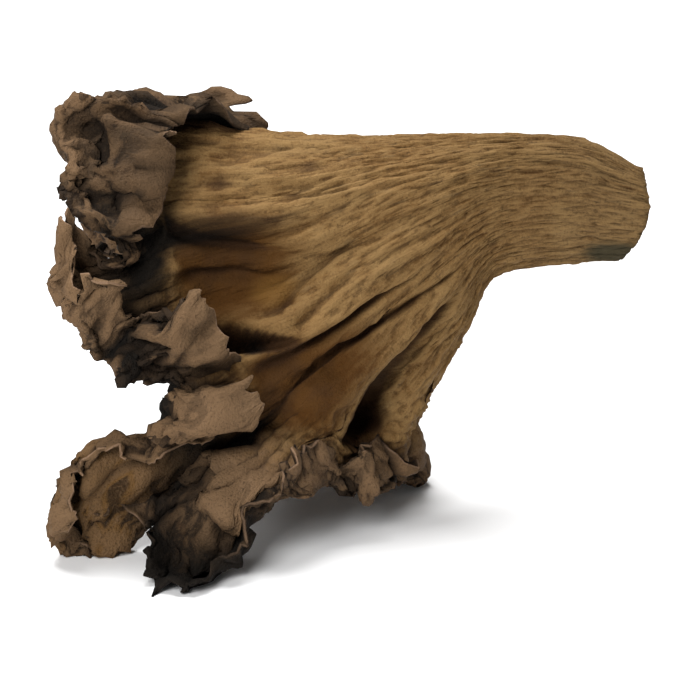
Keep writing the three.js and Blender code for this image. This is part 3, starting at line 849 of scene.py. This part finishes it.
# %% The free edge, rounded over, and the bottom of the hollow
lip_way = unit(middle[-1] - middle[-2])
lip_ring = middle[-1] + lip_way * LIP_ROUND
lip = (add_ring(lip_ring, fine_angles, theta, 1 + fine_s[-1], 0.5), fine_angles)
join_all(outer + [lip], False)
join_all(inner + [lip], True)
throat_centre = funnel(THROAT - HOLLOW_TIP, even_angles(INNER_COLUMNS)).mean(axis=0)
tip = add_ring(throat_centre[None], 0.0, 0.0, THROAT, 1.0)
close_ring(inner[0][0], tip[0], True)

# %% The cut end: a torn rim round the collapsed hollow
# Rings of it: share of the outline, and how deep they lie in mm
CUT_RINGS = [(0.93, -0.12), (0.8, 0.1), (0.66, 0.6), (0.5, 1.3), (0.25, 1.7)]
CUT_DEPTH = 1.8
CUT_ROUGH = 0.25
FURTHER_RING = 6  # the ring whose middle gives the way into the stem

end_angles = even_angles(STEM_COLUMNS)
end_ring = points[0]
end_centre = end_ring.mean(axis=0)
inward = unit(points[FURTHER_RING].mean(axis=0) - end_centre)
cut = [outer[0]]
for share, depth in CUT_RINGS:
    rough = CUT_ROUGH * noise_field(fibre_space(end_angles, share, 5, 6), 21)
    ring = lerp(end_centre, end_ring, share) + inward * (depth + rough)[:, None]
    # Darker towards the middle: painted shade in the collapsed hollow
    darker = 0.5 * smoothstep(1 - share, 0, 0.4)
    cut.append((add_ring(ring, end_angles, end_angles, 0.0, 0.5, darker), end_angles))
join_all(cut, True)
cut_tip = add_ring((end_centre + inward * CUT_DEPTH)[None], 0.0, 0.0, 0.0, 0.5, 0.6)
close_ring(cut[-1][0], cut_tip[0], False)
print("points:", total, "faces:", len(faces))

# %% The mesh
vertices = np.concatenate(points) + SHIFT
vertices[:, 2] = np.maximum(vertices[:, 2], 0.0)  # nothing sinks into the floor
mark = np.concatenate(marks)
mesh = bpy.data.meshes.new("dried_mushroom")
mesh.from_pydata((vertices * MM).tolist(), [], faces)
mesh.validate()
mesh.shade_smooth()
mushroom = bpy.data.objects.new("dried_mushroom", mesh)
bpy.context.scene.collection.objects.link(mushroom)
mesh.calc_loop_triangles()
print("triangles:", len(mesh.loop_triangles), "of at most 200000")

# %% [markdown]
# ## What each point knows
#
# The colour follows the shape and the place: shade is painted in where the mushroom hides a point
# and in its hollows, light on some faces that catch it, it is paler on what stands out, and each
# lobe has its own tone. Painting a picture for it would need an unwrapped sheet. Here each point
# carries a few numbers instead, which the finish reads.

# %% Patches of colour
# Each: station round the mouth, way along, how far it reaches in each, strength
WARM_PATCHES = [
    (9, 0.94, 4.2, 0.13, 1.1),  # the hollow behind the pointed flap
    (21.5, 0.95, 5.5, 0.2, 1.2),  # the low wall beside the slot
    (20, 1.6, 1.8, 0.3, 1),  # the middle of the low lobe
    (31.5, 1.2, 2.5, 0.2, 1),  # the pocket at the lower right
    (39, 0.95, 2.5, 0.1, 1),  # two on the far side, under the margin
    (44, 0.93, 2.0, 0.1, 1),
]
# Painted shade in the hollows, gaps, slots and the hole, and on the foot, the collar and the strip along
# the top; the last one is a bruise, the flesh's own colour
DARK_PATCHES = [
    (25.6, 1.92, 3.0, 0.33, 0.9),  # the foot
    (14.6, 0.965, 1.5, 0.035, 0.8),  # the slot under the pointed flap
    (3.3, 1.93, 0.5, 0.05, 0.6),  # the hollow in the collar's free side
    (20.2, 1.68, 0.8, 0.09, 0.9),  # the hole at the bottom of the low lobe
    (19.5, 1.2, 1.6, 0.14, 1.1),  # the hollow under the roll
    (22.2, 1.25, 1.3, 0.24, 1.1),  # the gap between the low lobe and the broad flap
    (6, 1.2, 2.0, 0.4, 1),  # three in the gap below the collar
    (7.8, 1.22, 2.0, 0.16, 0.9),
    (4.8, 1.02, 1.6, 0.05, 0.7),
    (11.2, 1.75, 1.0, 0.22, 0.8),  # the hollow beside the pointed flap
    (12.6, 1.62, 1.2, 0.12, 0.7),  # the flap's folded middle
    (15.3, 1.46, 1.6, 0.1, 0.9),  # the left end of the roll
    (30, 0.86, 1.6, 0.13, 0.9),  # the slot beside the strap
    (3.0, 1.9, 2.4, 0.2, 0.52),  # the collar
    (0.5, 1.9, 1.2, 0.25, 0.75),  # the strip along the top
    (31, 0.04, 4.0, 0.13, 1.1),  # the bruised lower corner of the cut end
]

# Dashes of painted shade where the fibres gape a little, with no gap in the mesh: station and way
DASHES = [
    (2.6, 0.77), (6.5, 0.72), (10, 0.77), (3, 0.92), (5.8, 0.84), (3.8, 0.8), (8.1, 0.91),
    (13.3, 0.63), (7.6, 0.54), (9.7, 0.68), (8.3, 0.4), (16.2, 0.38), (17.3, 0.44), (36, 0.7),
    (41, 0.8), (44, 0.62), (38, 0.5),
]
DASH_PATCHES = [(at, along, 0.3, 0.025, 0.65) for at, along in DASHES]
# Pale patches: painted light on the faces that catch it, the ledge's top, the collar behind its ridge, the
# roll, the broad flap, the ribbon and the flap's tip; the golden floor is the flesh's own colour, and the
# low lobe's thick rim is made paler
PALE_PATCHES = [
    (31.4, 1.86, 1.8, 0.1, 0.7),  # the top of the ledge
    (2.4, 1.66, 1.4, 0.12, 0.7),  # the collar behind its ridge
    (15.5, 1.86, 1.5, 0.2, 1),  # the roll
    (11.6, 0.87, 1.3, 0.06, 1),  # the golden floor of the hollow behind the pointed flap
    (25.8, 1.35, 2.8, 0.2, 1.15),  # the broad flap
    (8.3, 1.87, 2.0, 0.3, 1),  # the ribbon
    (12.7, 1.92, 0.9, 0.14, 0.25),  # the tip of the pointed flap
    (20, 1.95, 2.5, 0.08, 0.8),  # the thick rim of the low lobe
]


def patches(spots):
    """How much each point is in one of the patches, from 0 to 1."""
    most = 0 * way
    for spot in spots:
        most = np.maximum(most, spots_of([spot], station, way))
    return np.minimum(most, 1)


def write_vectors(name, values):
    made = mesh.attributes.new(name, "FLOAT_VECTOR", "POINT")
    made.data.foreach_set("vector", values.astype(np.float32).ravel())


def write_numbers(name, values):
    made = mesh.attributes.new(name, "FLOAT", "POINT")
    made.data.foreach_set("value", values.astype(np.float32))
    print(name, "tenths of the points:", np.percentile(values, [10, 50, 90]).round(2))


angle, place, way, side, furrow, ridge = mark.T
station = place / (2 * pi) * COUNT
write_vectors("wall_grain", np.stack([np.cos(angle), np.sin(angle), way], axis=-1))
write_vectors("margin_grain", np.stack([np.cos(place), np.sin(place), way], axis=-1))
write_numbers("way", way)
write_numbers("side", side)
write_numbers("furrow", np.maximum(furrow, patches(DASH_PATCHES)))
write_numbers("ridge", ridge)
write_numbers("warm", patches(WARM_PATCHES))
write_numbers("shade", patches(DARK_PATCHES))
write_numbers("pale", patches(PALE_PATCHES))

# %% How hidden and how proud each point is
RAYS = 12
RAY_LONG = 14 * MM
RAY_LIFT = 0.06 * MM  # how far off the skin a ray starts
RAY_SPREAD = 0.97  # how far the rays lean off the normal
# How broadly the surroundings are smoothed, and the height in mm that counts as one
FINE_PASSES, FINE_PROUD = 4, 0.05
BROAD_PASSES, BROAD_PROUD = 24, 0.2


def smoothed(values, passes):
    """Numbers of the points after each has been averaged with its neighbours."""
    edges = np.empty(2 * len(mesh.edges), int)
    mesh.edges.foreach_get("vertices", edges)
    a, b = edges.reshape(-1, 2).T
    count = np.bincount(a, minlength=len(values)) + np.bincount(b, minlength=len(values))
    for _ in range(passes):
        around = np.bincount(a, values[b], len(values)) + np.bincount(b, values[a], len(values))
        values = (values + around / count) / 2
    return values


def hidden_share(normals):
    """How much of what each point could see is hidden by the mushroom itself, 0 to 1."""
    body = BVHTree.FromPolygons((vertices * MM).tolist(), faces)
    draw = np.random.default_rng(5)
    starts = (vertices * MM + normals * RAY_LIFT).tolist()
    blocked = np.zeros(len(vertices))
    for _ in range(RAYS):
        stray = unit(draw.normal(size=normals.shape))
        for k, way_out in enumerate(unit(normals + RAY_SPREAD * stray).tolist()):
            distance = body.ray_cast(starts[k], way_out, RAY_LONG)[3]
            if distance is not None:
                blocked[k] += 1 - 0.5 * distance / RAY_LONG
    return smoothed(blocked / RAYS, 3)


def standing_proud(normals, passes, size):
    """How far each point stands out from its smoothed surroundings, in units of size mm."""
    around = np.stack([smoothed(vertices[:, k], passes) for k in range(3)], axis=-1)
    return np.sum((vertices - around) * normals, axis=-1) / size


normals = np.empty(3 * len(mesh.vertices))
mesh.vertices.foreach_get("normal", normals)
normals = normals.reshape(-1, 3)
finely = standing_proud(normals, FINE_PASSES, FINE_PROUD)
broadly = standing_proud(normals, BROAD_PASSES, BROAD_PROUD)
# The hidden share is painted into the colour as shade deep in the folds
write_numbers("hidden", hidden_share(normals))
write_numbers("proud", np.clip(0.5 * finely + 0.5 * broadly, -1, 1))

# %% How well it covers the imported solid
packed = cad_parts[PIECE].data
packed_faces = [list(face.vertices) for face in packed.polygons]
tree = BVHTree.FromPolygons([vertex.co for vertex in packed.vertices], packed_faces)
away = np.array([tree.find_nearest(Vector(v))[3] for v in vertices[::37] * MM]) / MM
half, farthest = round(float(np.median(away)), 2), round(float(away.max()), 2)
print("from the packed solid, mm: half within", half, "all within", farthest)

# %% [markdown]
# ## Shader arithmetic
#
# A finish is easier to read as sums than as a picture of wires. This class wraps one socket, so
# that an expression on values adds its Math nodes, and one method makes every other node.

# %% A socket that can be calculated with
class Wire:
    """One socket of a node tree."""

    def __init__(self, tree, socket=None):
        self.tree = tree
        self.socket = socket

    def node(self, kind, settings=(), sockets=(), out=0):
        """Makes a node, sets it up, fills or links its inputs and gives one of its outputs."""
        made = self.tree.nodes.new(kind)
        for name, value in dict(settings).items():
            setattr(made, name, value)
        for name, value in dict(sockets).items():
            named = [s for s in made.inputs if name in (s.identifier, s.name)]
            target = made.inputs[name] if isinstance(name, int) else named[0]
            if isinstance(value, Wire):
                self.tree.links.new(value.socket, target)
            else:
                target.default_value = value
        named = [s for s in made.outputs if out in (s.identifier, s.name)]
        return Wire(self.tree, made.outputs[out] if isinstance(out, int) else named[0])

    def math(self, operation, *values):
        return self.node("ShaderNodeMath", {"operation": operation}, dict(enumerate(values)))

    def __add__(self, other):
        return self.math("ADD", self, other)

    def __radd__(self, other):
        return self.math("ADD", other, self)

    def __sub__(self, other):
        return self.math("SUBTRACT", self, other)

    def __rsub__(self, other):
        return self.math("SUBTRACT", other, self)

    def __mul__(self, other):
        return self.math("MULTIPLY", self, other)

    def __rmul__(self, other):
        return self.math("MULTIPLY", other, self)

    def step(self, start, end):
        """0 up to start, 1 from end on, and smooth between; with end below start, it falls."""
        return self.node("ShaderNodeMapRange", {"interpolation_type": "SMOOTHSTEP"},
                         {"Value": self, "From Min": start, "From Max": end})

    def mix(self, first, second):
        """Between two colours, with this value as the share of the second."""
        return self.node("ShaderNodeMix", {"data_type": "RGBA"},
                         {"Factor_Float": self, "A_Color": first, "B_Color": second}, "Result_Color")


# %% [markdown]
# ## The finish
#
# Outside, the flesh is tan and fibrous, with shade painted into its furrows. The margin and the
# inside are a velvety grey-brown, paler on the edges, with shade painted nearly black deep in the
# folds and light painted on some faces that catch it. One material tells them apart by what each
# point knows of itself: which face it is on, how far along it is, and how deep in a furrow.

# %% The flesh
TAN = (0.148, 0.078, 0.025, 1)
PALE_TAN = (0.22, 0.131, 0.05, 1)
GOLDEN = (0.14, 0.067, 0.014, 1)
WARM = (0.057, 0.021, 0.0022, 1)
BRUISED = (0.045, 0.037, 0.02, 1)
GREYISH = (0.15, 0.1, 0.048, 1)
# The dark brown of the fibres and mottling, and of the painted shade in furrows, slits and folds
DARK_BROWN_AND_SHADE = (0.028, 0.012, 0.004, 1)
MARGIN = (0.052, 0.028, 0.013, 1)
MARGIN_GREY = (0.043, 0.028, 0.016, 1)
MARGIN_PALE = (0.136, 0.08, 0.04, 1)
# Painted light on the margin's faces that catch it
LOBE_PALE = (0.175, 0.105, 0.055, 1)
EDGE_PALE = (0.24, 0.15, 0.095, 1)
MARGIN_WARM = (0.135, 0.068, 0.02, 1)
MARGIN_DARK = (0.012, 0.0075, 0.0045, 1)
# Nearly black, for painted shade
DEEP_SHADE = (0.004, 0.003, 0.002, 1)


def flesh_material():
    material = bpy.data.materials.new("dried_flesh")
    material.use_nodes = True
    tree = material.node_tree
    shader = tree.nodes["Principled BSDF"]
    start = Wire(tree)

    def attribute(name, out="Fac"):
        return start.node("ShaderNodeAttribute", {"attribute_name": name}, out=out)

    def stretched(grain, ribs, runs):
        return start.node("ShaderNodeVectorMath", {"operation": "MULTIPLY"},
                          {0: grain, 1: (ribs, ribs, runs)}, "Vector")

    def grain_noise(vector, detail=3.0, roughness=0.6):
        return start.node("ShaderNodeTexNoise", sockets={
            "Vector": vector, "Scale": 1.0, "Detail": detail, "Roughness": roughness}, out="Fac")

    def layered(colour, layers):
        """A colour under others: share of each, the mask that shows it, and where that steps."""
        for share, mask, low_end, high_end, over in layers:
            colour = (share * mask.step(low_end, high_end)).mix(colour, over)
        return colour

    # What each point knows
    way, side, furrow, ridge = (attribute(name) for name in ("way", "side", "furrow", "ridge"))
    warm, shade, pale = (attribute(name) for name in ("warm", "shade", "pale"))
    hidden, proud = attribute("hidden"), attribute("proud")
    wall, margin = (attribute(name, "Vector") for name in ("wall_grain", "margin_grain"))
    place = start.node("ShaderNodeTexCoord", out="Object")

    # Noises: along the fibres, then the same in all directions, then broad marks of the wall
    fibres = grain_noise(stretched(wall, 24, 5.0), 4.0)
    hairs = grain_noise(stretched(wall, 70, 8.0), 3.0)
    blotches = grain_noise(stretched(place, 90, 90))
    clouds = grain_noise(stretched(place, 160, 160), 3.0)
    specks = grain_noise(stretched(place, 1400, 1400), 2.0)
    nap = grain_noise(stretched(place, 3200, 3200), 2.0)
    smudges = grain_noise(stretched(wall, 7, 6.0), 1.0)
    flecks = grain_noise(stretched(wall, 17, 17.0), 1.0)
    bands = grain_noise(stretched(wall, 9, 2.5), 2.0)
    ragged_edge = 0.5 * (smudges - 0.5) + 0.4 * (fibres - 0.5)

    # Outside: the tan of the stem and the funnel
    tan = layered(clouds.step(0.35, 0.7).mix(TAN, PALE_TAN), [
        (0.45, blotches, 0.5, 0.8, WARM),
        (0.45, way, 0.45, 0.1, GREYISH),  # towards the cut end
        (0.35, smudges, 0.45, 0.85, WARM),
        (0.4, bands, 0.52, 0.7, WARM),
        (0.45, bands, 0.48, 0.3, PALE_TAN),
        (0.5, flecks, 0.62, 0.74, WARM),
        (0.4, flecks, 0.4, 0.26, GREYISH),
        (0.25, fibres, 0.4, 0.8, DARK_BROWN_AND_SHADE),
        (0.35, hairs, 0.45, 0.75, DARK_BROWN_AND_SHADE),
        (0.4, specks, 0.5, 0.7, PALE_TAN),
        (0.6, nap, 0.52, 0.75, PALE_TAN),
        (0.5, nap, 0.48, 0.25, DARK_BROWN_AND_SHADE),
        # Paler on the crests of the relief and on what stands proud; painted shade in the creases and in
        # what lies sunk
        (0.25, ridge, 0.1, 0.6, PALE_TAN),
        (0.15, ridge, 0.0, -0.5, DARK_BROWN_AND_SHADE),
        (0.3, proud, 0.1, 0.7, PALE_TAN),
        (0.3, proud, -0.1, -0.9, DARK_BROWN_AND_SHADE),
        (0.92, warm + ragged_edge, 0.15, 0.8, WARM),
        (0.6, warm + 1.4 * (clouds - 0.5), 0.75, 1.2, DARK_BROWN_AND_SHADE),
        (0.7, pale + ragged_edge, 0.3, 0.9, GOLDEN),
        # Painted shade in the furrows, the slits, the gaping dashes and the middle of the cut end
        (0.85, furrow + 0.6 * (fibres - 0.5), 0.15, 0.8, DARK_BROWN_AND_SHADE),
        # Painted shade where the mushroom hides a point from the light: deep in its folds and furrows
        (0.9, hidden, 0.28, 0.75, DARK_BROWN_AND_SHADE),
    ])

    # The grey-brown of the margin and the inside
    velvet = grain_noise(stretched(margin, 40, 30.0), 4.0)
    streaks = grain_noise(stretched(margin, 150, 24.0), 3.0)
    # Where the pale and warm patches lie, the painted shade of the folds is held back
    shade_spared = start.math("MAXIMUM", 0.95 * pale, 0.8 * warm)
    dark = layered(clouds.step(0.4, 0.6).mix(MARGIN, MARGIN_GREY), [
        (0.7, velvet, 0.55, 0.35, MARGIN_DARK),
        (0.85, warm + 0.8 * (clouds - 0.5), 0.1, 0.8, MARGIN_WARM),
    ])
    # Painted light on the margin's faces that catch it, from the pale patches; the low lobe's rim is made
    # paler too
    dark = layered((0.9 * pale).mix(dark, LOBE_PALE), [
        (0.35, streaks, 0.5, 0.7, MARGIN_PALE),
        # Paler on what stands proud, and painted shade in what lies sunk
        (0.55, proud, 0.2, 0.9, MARGIN_PALE),
        (0.75 * (1 - 0.6 * pale), proud, -0.05, -0.7, MARGIN_DARK),
        (0.4, specks, 0.55, 0.75, MARGIN_PALE),
        (0.5, nap, 0.52, 0.75, MARGIN_PALE),
        (0.5, nap, 0.48, 0.25, MARGIN_DARK),
        (0.5, way, 1.84, 1.98, MARGIN_PALE),  # beside the free edge
        (0.6 * side.step(0.05, 0.35), side, 0.95, 0.65, EDGE_PALE),  # the edge itself
        # Painted shade, nearly black, deep in the folds of the margin and the inside
        (0.95 * (1 - shade_spared), hidden, 0.18, 0.62, MARGIN_DARK),
    ])

    # Both together, and the painted shade of the dark patches over them: nearly black, and near the cut
    # end the bruise's own colour
    on_margin = (way + 0.25 * (velvet - 0.5)).step(1.0, 1.35)
    inner = side.step(0.4, 0.6)
    is_dark = start.math("MAXIMUM", on_margin, inner)
    shaded = way.step(0.2, 0.5).mix(BRUISED, DEEP_SHADE)
    colour = (0.98 * (shade + ragged_edge).step(0.2, 0.85)).mix(is_dark.mix(tan, dark), shaded)

    # Relief finer than the mesh
    relief = 0.4 * fibres + 0.4 * hairs + 0.4 * nap
    rough_skin = 0.5 * streaks + 0.5 * specks + 0.5 * nap
    bump = start.node("ShaderNodeBump", sockets={
        "Strength": 0.9, "Distance": 0.0005,
        "Height": start.node("ShaderNodeMix", {"data_type": "FLOAT"}, {
            "Factor_Float": is_dark, "A_Float": relief, "B_Float": rough_skin}, "Result_Float")})
    for name, value in (("Base Color", colour), ("Normal", bump)):
        tree.links.new(value.socket, shader.inputs[name])
    shader.inputs["Roughness"].default_value = 0.82
    shader.inputs["Specular IOR Level"].default_value = 0.12
    return material


mesh.materials.append(flesh_material())
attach(mushroom, "root")
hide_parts(PIECE)

# %% [markdown]
# ## Floor, light and camera
#
# The mushroom lies on a plain white surface under a large soft light from above, with enough
# light from all round to keep the wall bright, while the folds stay dark because they see little
# of it and because shade is painted into their colour.

# %% The floor
FLOOR = 4.0
floor_mesh = bpy.data.meshes.new("floor")
corners = [(-FLOOR, -FLOOR, 0), (FLOOR, -FLOOR, 0), (FLOOR, FLOOR, 0), (-FLOOR, FLOOR, 0)]
floor_mesh.from_pydata(corners, [], [(0, 1, 2, 3)])
floor = bpy.data.objects.new("floor", floor_mesh)
bpy.context.scene.collection.objects.link(floor)
floor_finish = bpy.data.materials.new("pale_floor")
floor_finish.use_nodes = True
floor_shader = floor_finish.node_tree.nodes["Principled BSDF"]
floor_shader.inputs["Base Color"].default_value = (0.9, 0.9, 0.9, 1)
floor_shader.inputs["Roughness"].default_value = 0.7
floor_mesh.materials.append(floor_finish)

# %% The light
LIT_PLACE = (0, 0, 0.02)
world = bpy.data.worlds.new("studio")
world.use_nodes = True
background = world.node_tree.nodes["Background"]
background.inputs["Color"].default_value = (1, 1, 1, 1)
background.inputs["Strength"].default_value = 0.15
bpy.context.scene.world = world


def soft_light(name, place, size, power):
    """A square lamp that shines on the mushroom: place and size in metres, power in watts."""
    lamp = bpy.data.lights.new(name, "AREA")
    lamp.energy = power
    lamp.size = size
    lamp_object = bpy.data.objects.new(name, lamp)
    bpy.context.scene.collection.objects.link(lamp_object)
    lamp_object.location = place
    lamp_object.rotation_euler = (Vector(LIT_PLACE) - Vector(place)).to_track_quat("-Z", "Y").to_euler()


soft_light("overhead", (-0.06, 0.1, 0.5), 0.3, 4.1)
soft_light("front", (-0.22, -0.45, 0.36), 0.26, 3.6)

# %% The camera
CAMERA_AWAY = 0.6
SEEN_WIDE = 0.084  # how much the picture spans at the mushroom
AIM = Vector((6.7, 0, 23.3)) * MM + Vector(SHIFT) * MM
back_to_eye = Vector((0, -cos(VIEW_TILT), sin(VIEW_TILT)))
camera = bpy.data.cameras.new("camera")
camera.sensor_width = 36
camera.lens = camera.sensor_width * CAMERA_AWAY / SEEN_WIDE
camera_object = bpy.data.objects.new("camera", camera)
bpy.context.scene.collection.objects.link(camera_object)
camera_object.location = AIM + back_to_eye * CAMERA_AWAY
camera_object.rotation_euler = (-back_to_eye).to_track_quat("-Z", "Y").to_euler()
bpy.context.scene.camera = camera_object
bpy.context.scene.view_settings.view_transform = "Standard"
